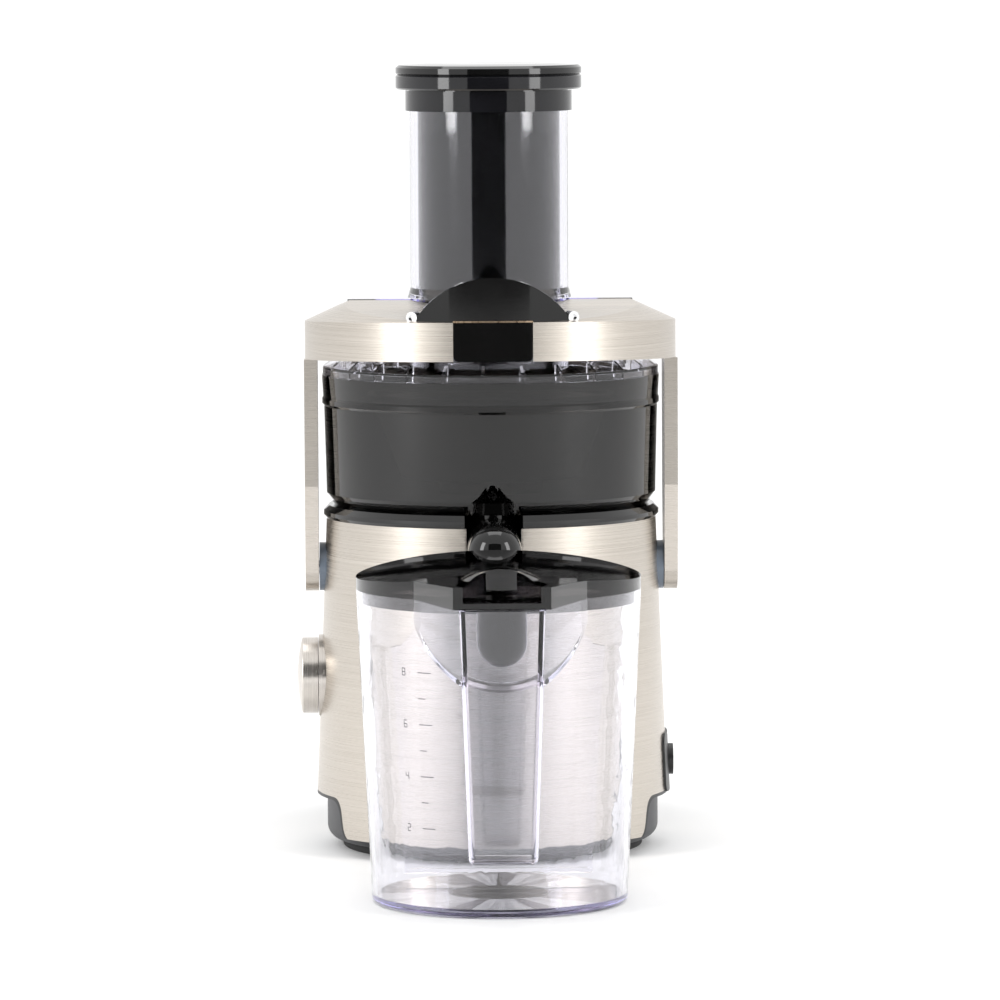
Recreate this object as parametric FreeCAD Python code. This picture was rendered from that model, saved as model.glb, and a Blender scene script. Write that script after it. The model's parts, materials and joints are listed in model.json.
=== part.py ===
"""Centrifugal juicer with a wide feed chute, a locking arm, a juice jug and a pulp container.

Frame: +Z is up and the origin is where the spindle axis meets the counter.
-Y is the jug side, +Y the pulp container side, -X the control knob side. Millimetres.
"""
import FreeCAD, Part
import math
import os

V = FreeCAD.Vector
X_AXIS = V(1, 0, 0)
Y_AXIS = V(0, 1, 0)
Z_AXIS = V(0, 0, 1)
ORIGIN = V(0, 0, 0)
PAST = 1.0            # how far a cutter runs past the face it opens

# ---- clearances ----
RUN_FIT = 0.05        # radial gap of a shaft or pin turning in its bore
MOVE_GAP = 0.5        # gap between curved faces that move past each other

# ---- driving sizes ----
BOWL_RADIUS = 86.5    # the shell, lid and arm follow it
SHELL_TOP = 169.5     # top of the steel shell; the jug, spout and pivots follow it
BOWL_HEIGHT = 66.6    # bowl above its black ring
PUSHER_RADIUS = 36.5  # the chute and its cap follow it
CHUTE_HEIGHT = 103.5  # chute above the crossbar
JUG_TOP_HALF_WIDTH = 69.0
JUG_TOP_HALF_DEPTH = 74.0
JUG_GAP = 52.5        # from the bowl's front to the jug's rim
JUG_DROP = 17.0       # the jug's rim under the shell's top

# ---- base and body ----
FOOT_HEIGHT = 4.0
PAN_RADIUS = BOWL_RADIUS - 1.5
FOOT_OUTER = PAN_RADIUS - 8.0
FOOT_INNER = PAN_RADIUS - 19.0
FOOT_GROOVES = 12
BASE_SCREWS = 4
PAN_WALL = 3.0
PAN_HEIGHT = 34.0
PAN_EDGE_ROUND = 7.0
PAN_FLANGE = 3.0
SHELL_WALL = 1.2
SHELL_BOTTOM = 9.0
SHELL_TOP_RADIUS = BOWL_RADIUS - 2.0
SHELL_FLARE = 6.4     # how much wider the shell is at its lower edge
ARCH_TOP = 29.0
ARCH_TOP_HALF = 38.0
ARCH_FOOT_HALF = 56.0
ARCH_TRIM = 1.6
FRAME_RADIUS = BOWL_RADIUS - 17.5
FRAME_WALL = 3.0

# ---- deck under the bowl ----
DECK_THICKNESS = 3.5
RING_TOP = SHELL_TOP + 6.5
RING_RADIUS = BOWL_RADIUS - 0.5
RING_INNER = BOWL_RADIUS - 11.5

# ---- bowl ----
BOWL_TOP = RING_TOP + BOWL_HEIGHT
BOWL_WALL = 2.4
BOWL_FOOT_RADIUS = BOWL_RADIUS - 6.2
BOWL_CHAMFER = 6.4
BOWL_STEP = BOWL_TOP - 15.6
HUB_SLEEVE_RADIUS = 22.4
HUB_SLEEVE_TOP = RING_TOP + 12.0

# ---- jug ----
JUG_CENTRE = -BOWL_RADIUS - JUG_GAP - JUG_TOP_HALF_DEPTH
JUG_HEIGHT = SHELL_TOP - JUG_DROP
JUG_FOOT_HALF_WIDTH = JUG_TOP_HALF_WIDTH - 7.0
JUG_FOOT_HALF_DEPTH = JUG_TOP_HALF_DEPTH - 5.5
JUG_WALL = 2.5
JUG_FLOOR = 4.5
HANDLE_REACH = 33.0
HANDLE_DEPTH = 17.0
HANDLE_TOP_WIDTH = 41.0
HANDLE_FOOT_WIDTH = 32.5
HANDLE_LOW = 31.0
HANDLE_WALL = 3.0
ROOT_HALF_WIDTH = 43.0
ROOT_LOW = JUG_HEIGHT - 41.5
ROOT_FALL = 1.5       # how much lower the handle's top is at its front than at the wall

# ---- jug lid and froth separator ----
JUG_LID_WALL = 2.2
JUG_LID_BACK = JUG_HEIGHT + 11.5
JUG_LID_SAG = 5.0
JUG_LID_FALL = 0.5    # degrees, the lid falls towards the handle
PLUG_DEPTH = 6.0
PLUG_GAP = 0.4
SCOOP_RADIUS = 21.5
SCOOP_SET_FORWARD = JUG_TOP_HALF_DEPTH + 16.0
TONGUE_REACH = JUG_TOP_HALF_DEPTH + 27.0
SWELL_RADIUS = 34.0
SWELL_TOP = JUG_HEIGHT + 15.5
SWELL_SET_FORWARD = JUG_TOP_HALF_DEPTH - 11.0
CUP_RADIUS = 12.0
CUP_SET_FORWARD = JUG_TOP_HALF_DEPTH + 14.5
CUP_LOW = JUG_HEIGHT - 29.5
SEPARATOR_BACK = JUG_TOP_HALF_DEPTH / 2
SEPARATOR_WALL = 2.0
SEPARATOR_RIM = 4.0
SEPARATOR_TOP = JUG_HEIGHT - 32.5
SEPARATOR_TOP_HALF = JUG_TOP_HALF_WIDTH - 16.0
SEPARATOR_FOOT_HALF = JUG_FOOT_HALF_WIDTH - 15.0

# ---- spout ----
SPOUT_RADIUS = 13.5
SPOUT_WALL = 2.5
SPOUT_HEIGHT = RING_TOP - 15.5
SPOUT_INLET = BOWL_RADIUS - 28.5
SPOUT_REACH = BOWL_RADIUS + JUG_GAP - 12.0
NOZZLE_RADIUS = 9.0
NOZZLE_WALL = 2.0
NOZZLE_HEIGHT = JUG_HEIGHT - 3.5
NOZZLE_REACH = BOWL_RADIUS + JUG_GAP + 10.0
NOTCH_GAP = 1.2

# ---- drive ----
SHAFT_RADIUS = 4.0
SHAFT_BOTTOM = 20.0
BRACKET_LOW = 26.0
BRACKET_HIGH = SHELL_TOP - 51.5
BRACKET_THICKNESS = 4.0
BEARING_RADIUS = 11.0
BEARING_WIDTH = 7.0
STATOR_LOW = 50.0
STATOR_HIGH = BRACKET_HIGH - 23.0
STATOR_RADIUS = FRAME_RADIUS - 24.0
ROTOR_RADIUS = STATOR_RADIUS - 22.0
COIL_HEIGHT = 7.0
COUPLING_RADIUS = 15.0
BASKET_LOW = HUB_SLEEVE_TOP + 2.0
BASKET_RIM_RADIUS = BOWL_RADIUS - 26.5
BASKET_BASE_RADIUS = BASKET_RIM_RADIUS - 15.0
BASKET_RIM = BOWL_TOP - 12.6
BASKET_BASE_THICKNESS = 4.0
BASKET_WALL = 1.0
BASKET_FLANGE = 4.0
DRIVE_PINS = 6

# ---- lid and chute ----
LID_WALL = 2.5
LID_SHOULDER = BOWL_TOP + 8.4
LID_RADIUS = BOWL_RADIUS - 0.5
HOOD_HALF = BOWL_RADIUS - 13.5
HOOD_HEIGHT = BOWL_TOP + 38.2
HOOD_DROP = 10.0
HOOD_CORNER = 42.0
LID_RIBS = 26
CHUTE_BORE = PUSHER_RADIUS + 1.4
CHUTE_RADIUS = CHUTE_BORE + 2.8
CHUTE_SET_BACK = 13.0
CHUTE_BOTTOM = BASKET_RIM + 6.0

# ---- locking arm ----
PIVOT_HEIGHT = SHELL_TOP - 25.8
PIVOT_PIN_RADIUS = 4.0
PIVOT_DISC_RADIUS = 12.4
ARM_INNER = BOWL_RADIUS + 2.1
ARM_OUTER = ARM_INNER + 6.8
ARM_HALF_WIDTH = 17.0
ARM_END_RADIUS = 12.6
ARM_BOTTOM = PIVOT_HEIGHT - ARM_END_RADIUS
BAND_RADIUS = ARM_OUTER - 0.4
BAND_WALL = 2.0
BAND_LOW = BOWL_TOP + 7.8
BAND_HEIGHT = 19.6
BAND_TILT = 2.3       # degrees, front edge up
CHAMFER_SLOPE = 24.6  # degrees, the sloping margin of the crossbar's top
TOP_HEIGHT = HOOD_HEIGHT - 0.3  # top face over the pivot axis
TOP_FALL = 4.2        # degrees, the top face falls to the front
CROSSBAR_BACK = 0.0
GRIP_HALF_WIDTH = 20.0
GRIP_PROUD = 0.6
DOME_HALF_WIDTH = 39.5
DOME_RADIUS = BAND_RADIUS - 3.0
DOME_THICKNESS = 8.0
DOME_BASE = TOP_HEIGHT - 6.5
DOME_TOP = TOP_HEIGHT + 15.5

# ---- pusher ----
CHUTE_TOP = TOP_HEIGHT + CHUTE_HEIGHT
PUSHER_WALL = 2.5
PUSHER_BOTTOM = CHUTE_BOTTOM + 4.0
COLLAR_BOTTOM = CHUTE_TOP - 7.0
COLLAR_RADIUS = CHUTE_RADIUS + 2.1
CAP_RADIUS = COLLAR_RADIUS + 4.95
CAP_SEAT = CHUTE_TOP + 4.0
CAP_SEAM = CAP_SEAT + 7.4
CAP_TOP = CAP_SEAM + 5.6

# ---- control knob and inlet ----
KNOB_HEIGHT = SHELL_TOP - 82.0
KNOB_RADIUS = 19.5
KNOB_BACK = BOWL_RADIUS + 2.8
KNOB_FACE = KNOB_BACK + 10.7
SPINDLE_RADIUS = 3.0
INLET_LOW = 28.0
INLET_HIGH = 58.0
INLET_HALF_WIDTH = 21.0

# ---- pulp container ----
PULP_FRONT = BOWL_RADIUS + 8.5
PULP_BACK = PULP_FRONT + 103.0
PULP_HALF_WIDTH = HOOD_HALF - 2.0
PULP_TOP = BOWL_TOP - 0.4
PULP_WALL = 2.4
HOOD_BACK = PULP_BACK + 2.0


def box(x0, x1, y0, y1, z0, z1):
    return Part.makeBox(x1 - x0, y1 - y0, z1 - z0, V(x0, y0, z0))


def rod(radius, start, direction, length):
    return Part.makeCylinder(radius, length, start, direction)


def disc(radius, z0, z1, centre_y=0.0):
    return rod(radius, V(0, centre_y, z0), Z_AXIS, z1 - z0)


def ring(outer, inner, z0, z1, centre_y=0.0):
    return disc(outer, z0, z1, centre_y).cut(disc(inner, z0 - PAST, z1 + PAST, centre_y))


def turned(points):
    """A solid of revolution about the spindle axis from (radius, height) corners."""
    corners = [V(r, 0, z) for r, z in points]
    face = Part.Face(Part.makePolygon(corners + corners[:1]))
    return face.revolve(ORIGIN, Z_AXIS, 360)


def prism_along_x(points, x0, x1):
    """A prism from (y, z) corners, between two x places."""
    corners = [V(x0, y, z) for y, z in points]
    face = Part.Face(Part.makePolygon(corners + corners[:1]))
    return face.extrude(V(x1 - x0, 0, 0))


def prism_along_y(points, y0, y1):
    """A prism from (x, z) corners, between two y places."""
    corners = [V(x, y0, z) for x, z in points]
    face = Part.Face(Part.makePolygon(corners + corners[:1]))
    return face.extrude(V(0, y1 - y0, 0))


def mirrored_x(shape):
    return shape.mirror(ORIGIN, X_AXIS)


def turned_about_z(shape, degrees):
    copy = shape.copy()
    copy.rotate(ORIGIN, Z_AXIS, degrees)
    return copy


def around(shape, count, first=0.0):
    """Copies of one shape, evenly spaced about the spindle axis."""
    return [turned_about_z(shape, first + i * 360.0 / count) for i in range(count)]


def round_rings(shape, radius, rings):
    """Round the circular edges that lie at the given (radius, height) pairs."""
    chosen = []
    for edge in shape.Edges:
        curve = edge.Curve
        if not isinstance(curve, Part.Circle):
            continue
        for r, z in rings:
            if abs(curve.Radius - r) < 0.01 and abs(curve.Center.z - z) < 0.01:
                chosen.append(edge)
    return shape.makeFillet(radius, chosen)


def round_upright(shape, radius, test):
    """Round the straight upright edges whose middle point passes the test."""
    chosen = []
    for edge in shape.Edges:
        if edge.BoundBox.XLength < 0.01 and edge.BoundBox.YLength < 0.01:
            if test(edge.CenterOfMass):
                chosen.append(edge)
    return shape.makeFillet(radius, chosen)


def save(name, shape):
    """Write one named sub-part as closed solids."""
    clean = shape.removeSplitter()
    solids = clean.Solids
    if not solids:
        raise ValueError(name + " has no solid")
    if not all(solid.isValid() and solid.isClosed() for solid in solids):
        raise ValueError(name + " is not a closed valid solid")
    kept = solids[0] if len(solids) == 1 else Part.makeCompound(solids)
    kept.exportStep("parts/" + name + ".step")
    print("%-22s %2d solid(s) %10.0f mm3" % (name, len(solids), kept.Volume))


# ---------------------------------------------------------------- base and body

def shell_radius(z):
    """Outer radius of the body shell: wide at the foot, drawn in towards the deck."""
    share = (SHELL_TOP - z) / (SHELL_TOP - SHELL_BOTTOM)
    return SHELL_TOP_RADIUS + SHELL_FLARE * share


def shell_solid(inset=0.0):
    """The full volume inside the shell's outer face, or inset from it."""
    return Part.makeCone(
        shell_radius(SHELL_BOTTOM) - inset,
        shell_radius(SHELL_TOP) - inset,
        SHELL_TOP - SHELL_BOTTOM,
        V(0, 0, SHELL_BOTTOM),
    )


def arch_outline(grow=0.0):
    """Half side view of the arch: a flat top that runs out to the lower edge in an S."""
    low = SHELL_BOTTOM - PAST
    top = ARCH_TOP + grow
    mid_y = (ARCH_TOP_HALF + ARCH_FOOT_HALF) / 2 + grow
    mid_z = (SHELL_BOTTOM + ARCH_TOP) / 2
    return [
        V(0, -ARCH_FOOT_HALF - grow, low),
        V(0, -mid_y, mid_z),
        V(0, -ARCH_TOP_HALF - grow, top),
        V(0, ARCH_TOP_HALF + grow, top),
        V(0, mid_y, mid_z),
        V(0, ARCH_FOOT_HALF + grow, low),
    ]


def arch_prism(grow=0.0):
    """A prism along X through both sides of the body, in the shape of the arches."""
    low_left, mid_left, top_left, top_right, mid_right, low_right = arch_outline(grow)
    start = V(-2 * PAN_RADIUS, 0, 0)
    flat = V(0, 1, 0)
    left = Part.BSplineCurve()
    left.interpolate([low_left, mid_left, top_left], InitialTangent=flat, FinalTangent=flat)
    right = Part.BSplineCurve()
    right.interpolate([top_right, mid_right, low_right], InitialTangent=flat, FinalTangent=flat)
    edges = [
        left.toShape(),
        Part.LineSegment(top_left, top_right).toShape(),
        right.toShape(),
        Part.LineSegment(low_right, low_left).toShape(),
    ]
    face = Part.Face(Part.Wire(edges))
    face.translate(start)
    return face.extrude(V(4 * PAN_RADIUS, 0, 0))


def spout_passage(gap):
    """The U-shaped way for the spout through the front of the body, open at the top."""
    radius = SPOUT_RADIUS + gap
    start = V(0, -2 * PAN_RADIUS, SPOUT_HEIGHT)
    length = 2 * PAN_RADIUS - SPOUT_INLET + SPOUT_RADIUS + gap
    tube = rod(radius, start, Y_AXIS, length)
    slot = box(-radius, radius, start.y, start.y + length, SPOUT_HEIGHT, RING_TOP + PAST)
    return tube.fuse(slot)


def body_shell():
    skin = shell_solid().cut(shell_solid(SHELL_WALL))
    knob_hole = rod(SPINDLE_RADIUS + MOVE_GAP, V(0, 0, KNOB_HEIGHT), -X_AXIS, 2 * PAN_RADIUS)
    pivot_hole = rod(PIVOT_PIN_RADIUS, V(-2 * PAN_RADIUS, 0, PIVOT_HEIGHT), X_AXIS, 4 * PAN_RADIUS)
    return skin.cut(arch_prism()).cut(spout_passage(NOTCH_GAP)).cut(knob_hole).cut(pivot_hole)


def arch_trim():
    """A thin dark edging along each arch, let into the space inside the shell's edge."""
    strip = arch_prism(0.0).cut(arch_prism(-ARCH_TRIM))
    wall = shell_solid().cut(shell_solid(2 * SHELL_WALL))
    trim = wall.common(strip)
    above = box(-2 * PAN_RADIUS, 2 * PAN_RADIUS, -PAN_RADIUS, PAN_RADIUS, SHELL_BOTTOM, ARCH_TOP + PAST)
    return trim.common(above)


def base_pan():
    outer = disc(PAN_RADIUS, FOOT_HEIGHT, PAN_HEIGHT)
    outer = round_rings(outer, PAN_EDGE_ROUND, [(PAN_RADIUS, FOOT_HEIGHT)])
    inner = disc(PAN_RADIUS - PAN_WALL, FOOT_HEIGHT + PAN_WALL, PAN_HEIGHT + PAST)
    inner = round_rings(inner, PAN_EDGE_ROUND - PAN_WALL, [(PAN_RADIUS - PAN_WALL, FOOT_HEIGHT + PAN_WALL)])
    flange = ring(shell_radius(SHELL_BOTTOM), PAN_RADIUS - PAN_WALL, PAN_HEIGHT - PAN_FLANGE, PAN_HEIGHT)
    flange = flange.common(shell_solid(SHELL_WALL))
    pan = outer.cut(inner).fuse(flange)
    screw_hole = disc(SCREW_RADIUS, 0, PAN_HEIGHT)
    screw_hole.translate(V(SCREW_CIRCLE, 0, 0))
    for hole in around(screw_hole, BASE_SCREWS):
        pan = pan.cut(hole)
    return pan


SCREW_RADIUS = 2.0
SCREW_HEAD_RADIUS = 4.0
SCREW_HEAD_HEIGHT = 2.4
SCREW_LENGTH = 14.0
SCREW_CIRCLE = FRAME_RADIUS - FRAME_WALL - 6.0
FRAME_FOOT = 4.0


def base_screws():
    """Four screws from below through the pan into the inner frame's foot."""
    head = disc(SCREW_HEAD_RADIUS, FOOT_HEIGHT - SCREW_HEAD_HEIGHT, FOOT_HEIGHT)
    shank = disc(SCREW_RADIUS, FOOT_HEIGHT, FOOT_HEIGHT + PAN_WALL + FRAME_FOOT)
    screw = head.fuse(shank)
    slot = box(-SCREW_HEAD_RADIUS, SCREW_HEAD_RADIUS, -0.6, 0.6, 0, FOOT_HEIGHT - SCREW_HEAD_HEIGHT + 1.0)
    screw = screw.cut(slot)
    screw.translate(V(SCREW_CIRCLE, 0, 0))
    return Part.makeCompound(around(screw, BASE_SCREWS))


def foot_ring():
    """The soft ring that the body stands on, with shallow grooves from its outer edge inward."""
    foot = ring(FOOT_OUTER, FOOT_INNER, 0, FOOT_HEIGHT)
    foot = round_rings(foot, 1.0, [(FOOT_OUTER, 0), (FOOT_INNER, 0)])
    groove = box(FOOT_INNER + 4.0, FOOT_OUTER + PAST, -1.0, 1.0, -PAST, 0.8)
    for one in around(groove, FOOT_GROOVES, 15.0):
        foot = foot.cut(one)
    return foot


def inner_frame():
    """The tube that carries the motor, the deck, the switches and the arm's pivots."""
    low = FOOT_HEIGHT + PAN_WALL
    high = SHELL_TOP - DECK_THICKNESS
    bore = FRAME_RADIUS - FRAME_WALL
    tube = ring(FRAME_RADIUS, bore, low, high)
    foot = ring(bore, SCREW_CIRCLE - 7.0, low, low + FRAME_FOOT)
    low_ledge = ring(bore, bore - 4.0, BRACKET_LOW - 4.0, BRACKET_LOW)
    high_ledge = ring(bore, bore - 4.0, BRACKET_HIGH - 4.0, BRACKET_HIGH)
    frame = tube.fuse([foot, low_ledge, high_ledge])
    boss_end = shell_radius(PIVOT_HEIGHT) - 3.0
    for side in (X_AXIS, -X_AXIS):
        boss = rod(PIVOT_PIN_RADIUS + 5.0, V(0, 0, PIVOT_HEIGHT), side, boss_end)
        frame = frame.fuse(boss.cut(disc(bore, 0, SHELL_TOP)))
        frame = frame.cut(rod(PIVOT_PIN_RADIUS, side * (boss_end - PIN_DEPTH) + V(0, 0, PIVOT_HEIGHT), side, PIN_DEPTH + PAST))
    pad = box(-SWITCH_FACE, -FRAME_RADIUS + 4.0, -8, 8, KNOB_HEIGHT - 8, KNOB_HEIGHT + 8)
    frame = frame.fuse(pad.cut(disc(bore, 0, SHELL_TOP)))
    for x in (-BOARD_HALF_WIDTH + 4.0, BOARD_HALF_WIDTH - 4.0):
        for z in (BOARD_LOW + 4.0, BOARD_HIGH - 4.0):
            peg = rod(2.5, V(x, FRAME_RADIUS - 6.0, z), Y_AXIS, BOARD_FACE - FRAME_RADIUS + 6.0)
            frame = frame.fuse(peg.cut(disc(bore, 0, SHELL_TOP)))
    screw_hole = disc(SCREW_RADIUS, low - PAST, low + FRAME_FOOT + PAST)
    screw_hole.translate(V(SCREW_CIRCLE, 0, 0))
    for hole in around(screw_hole, BASE_SCREWS):
        frame = frame.cut(hole)
    return frame.cut(spout_passage(NOTCH_GAP))


PIN_DEPTH = 10.0
SWITCH_FACE = FRAME_RADIUS + 2.0
SWITCH_DEPTH = 11.0
SWITCH_HALF = 11.0
BOARD_FACE = FRAME_RADIUS + 4.0
BOARD_THICKNESS = 1.6
BOARD_HALF_WIDTH = 20.0
BOARD_LOW = 60.0
BOARD_HIGH = 108.0


def speed_switch():
    start = -SWITCH_FACE - SWITCH_DEPTH
    block = box(start, -SWITCH_FACE, -SWITCH_HALF, SWITCH_HALF, KNOB_HEIGHT - SWITCH_HALF, KNOB_HEIGHT + SWITCH_HALF)
    block = block.makeFillet(1.5, [e for e in block.Edges if abs(e.BoundBox.XLength - SWITCH_DEPTH) < 0.01])
    bore = rod(SPINDLE_RADIUS + RUN_FIT, V(start - PAST, 0, KNOB_HEIGHT), X_AXIS, SWITCH_DEPTH - 2.0 + PAST)
    terminals = [
        box(-SWITCH_FACE - 4.0, -SWITCH_FACE - 3.2, y - 1.5, y + 1.5, KNOB_HEIGHT - SWITCH_HALF - 6.0, KNOB_HEIGHT - SWITCH_HALF)
        for y in (-6.0, 0.0, 6.0)
    ]
    return block.cut(bore).fuse(terminals)


def control_board():
    y = BOARD_FACE
    board = box(-BOARD_HALF_WIDTH, BOARD_HALF_WIDTH, y, y + BOARD_THICKNESS, BOARD_LOW, BOARD_HIGH)
    relay = box(-14, 2, y + BOARD_THICKNESS, y + BOARD_THICKNESS + 7.0, BOARD_LOW + 8.0, BOARD_LOW + 22.0)
    capacitor = rod(4.0, V(10, y + BOARD_THICKNESS, BOARD_LOW + 16.0), Y_AXIS, 7.0)
    plugs = [box(x, x + 7.0, y + BOARD_THICKNESS, y + BOARD_THICKNESS + 5.0, BOARD_HIGH - 12.0, BOARD_HIGH - 5.0) for x in (-15, -5, 5)]
    return board.fuse([relay, capacitor] + plugs)


def interlock_switch():
    """The small switch beside the right pivot that the locked arm closes."""
    x0 = FRAME_RADIUS
    top = PIVOT_HEIGHT - 9.7
    body = box(x0 - 4.0, x0 + 7.0, 14, 28, top - 16.0, top).cut(disc(FRAME_RADIUS, 0, SHELL_TOP))
    return body.fuse(box(x0 + 1.0, x0 + 4.0, 19, 23, top, top + 3.0))


def cord_inlet():
    """A dark panel low on the rear side, standing a little proud, with the cord's hole."""
    panel = shell_solid(-1.2).cut(shell_solid())
    window = box(0, 2 * PAN_RADIUS, -INLET_HALF_WIDTH, INLET_HALF_WIDTH, INLET_LOW, INLET_HIGH)
    window = window.makeFillet(5.0, [e for e in window.Edges if abs(e.BoundBox.XLength - 2 * PAN_RADIUS) < 0.01])
    panel = panel.common(window)
    middle = (INLET_LOW + INLET_HIGH) / 2
    collar = rod(8.0, V(shell_radius(middle) - 0.5, 0, middle), X_AXIS, 4.0).cut(shell_solid())
    panel = panel.fuse(collar)
    panel = panel.cut(rod(4.0, V(PAN_RADIUS, 0, middle), X_AXIS, PAN_RADIUS))
    for y in (-17.0, -14.0, 14.0, 17.0):
        groove = box(shell_radius(middle) + 0.7, 2 * PAN_RADIUS, y - 0.7, y + 0.7, INLET_LOW + 6.0, INLET_HIGH - 6.0)
        panel = panel.cut(groove)
    return panel


def deck():
    """The black top of the body: a ring that seats the bowl, and the plate inside it."""
    plate_low = SHELL_TOP - DECK_THICKNESS
    profile = [
        (SEAL_RADIUS, plate_low),
        (SHELL_TOP_RADIUS - SHELL_WALL - 0.5, plate_low),
        (SHELL_TOP_RADIUS - SHELL_WALL - 0.5, SHELL_TOP),
        (RING_RADIUS - 1.2, SHELL_TOP),
        (RING_RADIUS, SHELL_TOP + 1.6),
        (RING_RADIUS, SHELL_TOP + 3.6),
        (RING_RADIUS - 2.6, RING_TOP),
        (RING_INNER, RING_TOP),
        (RING_INNER, SHELL_TOP),
        (SEAL_RADIUS, SHELL_TOP),
    ]
    inlet = disc(SPOUT_RADIUS + NOTCH_GAP, plate_low - PAST, RING_TOP + PAST, -SPOUT_INLET)
    return turned(profile).cut(spout_passage(NOTCH_GAP)).cut(inlet)


SEAL_RADIUS = 10.0


def notch_trim():
    """The bright lip that edges the shell's U-notch around the spout."""
    outer = spout_passage(NOTCH_GAP)
    inner = spout_passage(0.3)
    front = box(-PAN_RADIUS, PAN_RADIUS, -2 * PAN_RADIUS, 0, SHELL_BOTTOM, SHELL_TOP)
    wall = shell_solid(-0.8).cut(shell_solid(2 * SHELL_WALL))
    return outer.cut(inner).common(wall).common(front)


# ---------------------------------------------------------------- motor and drive

BORE = FRAME_RADIUS - FRAME_WALL


def motor_bracket(low, bearing_low):
    """A spoked plate on the inner frame's ledge, with a hub that holds a bearing."""
    high = low + BRACKET_THICKNESS
    rim = ring(BORE, BORE - 8.0, low, high)
    hub_top = max(high, bearing_low + BEARING_WIDTH)
    hub = disc(BEARING_RADIUS + 4.0, low, hub_top)
    spokes = around(box(0, BORE - 7.0, -6.0, 6.0, low, high), 4, 45.0)
    bracket = rim.fuse([hub] + spokes)
    bracket = bracket.cut(disc(BEARING_RADIUS, bearing_low, hub_top + PAST))
    bracket = bracket.cut(disc(SHAFT_RADIUS + MOVE_GAP, low - PAST, hub_top + PAST))
    for hole in motor_bolt_rods(low - PAST, hub_top + PAST):
        bracket = bracket.cut(hole)
    return bracket


BOLT_RADIUS = 2.0
BOLT_HEAD_RADIUS = 3.6
BOLT_HEAD_HEIGHT = 3.0
BOLT_CIRCLE = STATOR_RADIUS - 6.0


def motor_bolt_rods(z0, z1, radius=BOLT_RADIUS):
    one = disc(radius, z0, z1)
    one.translate(V(BOLT_CIRCLE, 0, 0))
    return around(one, 4, 45.0)


def motor_bolts():
    top = BRACKET_HIGH + BRACKET_THICKNESS
    shanks = motor_bolt_rods(BRACKET_LOW, top)
    heads = motor_bolt_rods(top, top + BOLT_HEAD_HEIGHT, BOLT_HEAD_RADIUS)
    return Part.makeCompound([shank.fuse(head) for shank, head in zip(shanks, heads)])


def motor_stator():
    core = ring(STATOR_RADIUS, ROTOR_RADIUS + MOVE_GAP, STATOR_LOW, STATOR_HIGH)
    for hole in motor_bolt_rods(STATOR_LOW - PAST, STATOR_HIGH + PAST):
        core = core.cut(hole)
    for groove in around(box(STATOR_RADIUS - 2.0, STATOR_RADIUS + PAST, -2, 2, STATOR_LOW - PAST, STATOR_HIGH + PAST), 4):
        core = core.cut(groove)
    return core


def field_windings():
    """The coil ends that stand above and below the stator core."""
    outer = BOLT_CIRCLE - BOLT_RADIUS - 1.0
    inner = ROTOR_RADIUS + 3.0
    low = ring(outer, inner, STATOR_LOW - COIL_HEIGHT, STATOR_LOW)
    low = round_rings(low, 2.5, [(outer, STATOR_LOW - COIL_HEIGHT), (inner, STATOR_LOW - COIL_HEIGHT)])
    high = ring(outer, inner, STATOR_HIGH, STATOR_HIGH + COIL_HEIGHT)
    high = round_rings(high, 2.5, [(outer, STATOR_HIGH + COIL_HEIGHT), (inner, STATOR_HIGH + COIL_HEIGHT)])
    return Part.makeCompound([low, high])


def motor_shaft():
    shaft = disc(SHAFT_RADIUS, SHAFT_BOTTOM, COUPLING_TOP - 4.0)
    flat = box(SHAFT_RADIUS - 0.8, SHAFT_RADIUS + PAST, -5, 5, RING_TOP, COUPLING_TOP)
    return shaft.cut(flat)


def motor_rotor():
    core = ring(ROTOR_RADIUS, SHAFT_RADIUS, STATOR_LOW, STATOR_HIGH)
    slot = box(ROTOR_RADIUS - 5.0, ROTOR_RADIUS + PAST, -1.1, 1.1, STATOR_LOW - PAST, STATOR_HIGH + PAST)
    return core.cut(Part.makeCompound(around(slot, 12)))


COMMUTATOR_RADIUS = 13.0
COMMUTATOR_LOW = STATOR_HIGH + COIL_HEIGHT + 1.5
COMMUTATOR_HIGH = BRACKET_HIGH - 2.0
BRUSH_END = 34.0
BRUSH_HALF = 3.0


def commutator():
    return ring(COMMUTATOR_RADIUS, SHAFT_RADIUS, STATOR_HIGH, COMMUTATOR_HIGH)


def carbon_brushes():
    middle = (COMMUTATOR_LOW + COMMUTATOR_HIGH) / 2
    brush = box(COMMUTATOR_RADIUS - 1.0, BRUSH_END, -BRUSH_HALF, BRUSH_HALF, middle - BRUSH_HALF, middle + BRUSH_HALF)
    brush = brush.cut(disc(COMMUTATOR_RADIUS + RUN_FIT, 0, SHELL_TOP))
    return Part.makeCompound(around(brush, 2))


def brush_holders():
    middle = (COMMUTATOR_LOW + COMMUTATOR_HIGH) / 2
    sleeve = box(COMMUTATOR_RADIUS + 4.0, BRUSH_END + 2.0, -BRUSH_HALF - 2, BRUSH_HALF + 2, middle - BRUSH_HALF - 1.5, BRACKET_HIGH)
    cavity = box(0, BRUSH_END, -BRUSH_HALF, BRUSH_HALF, middle - BRUSH_HALF, middle + BRUSH_HALF)
    return Part.makeCompound(around(sleeve.cut(cavity), 2))


def motor_fan():
    low = BRACKET_LOW + BRACKET_THICKNESS + BEARING_WIDTH - 2.0
    high = STATOR_LOW - COIL_HEIGHT - 1.5
    hub = ring(9.0, SHAFT_RADIUS, low, high)
    plate = ring(34.0, SHAFT_RADIUS, high - 1.5, high)
    blade = box(8.0, 34.0, -0.7, 0.7, low, high)
    return hub.fuse([plate] + around(blade, 11))


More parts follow.
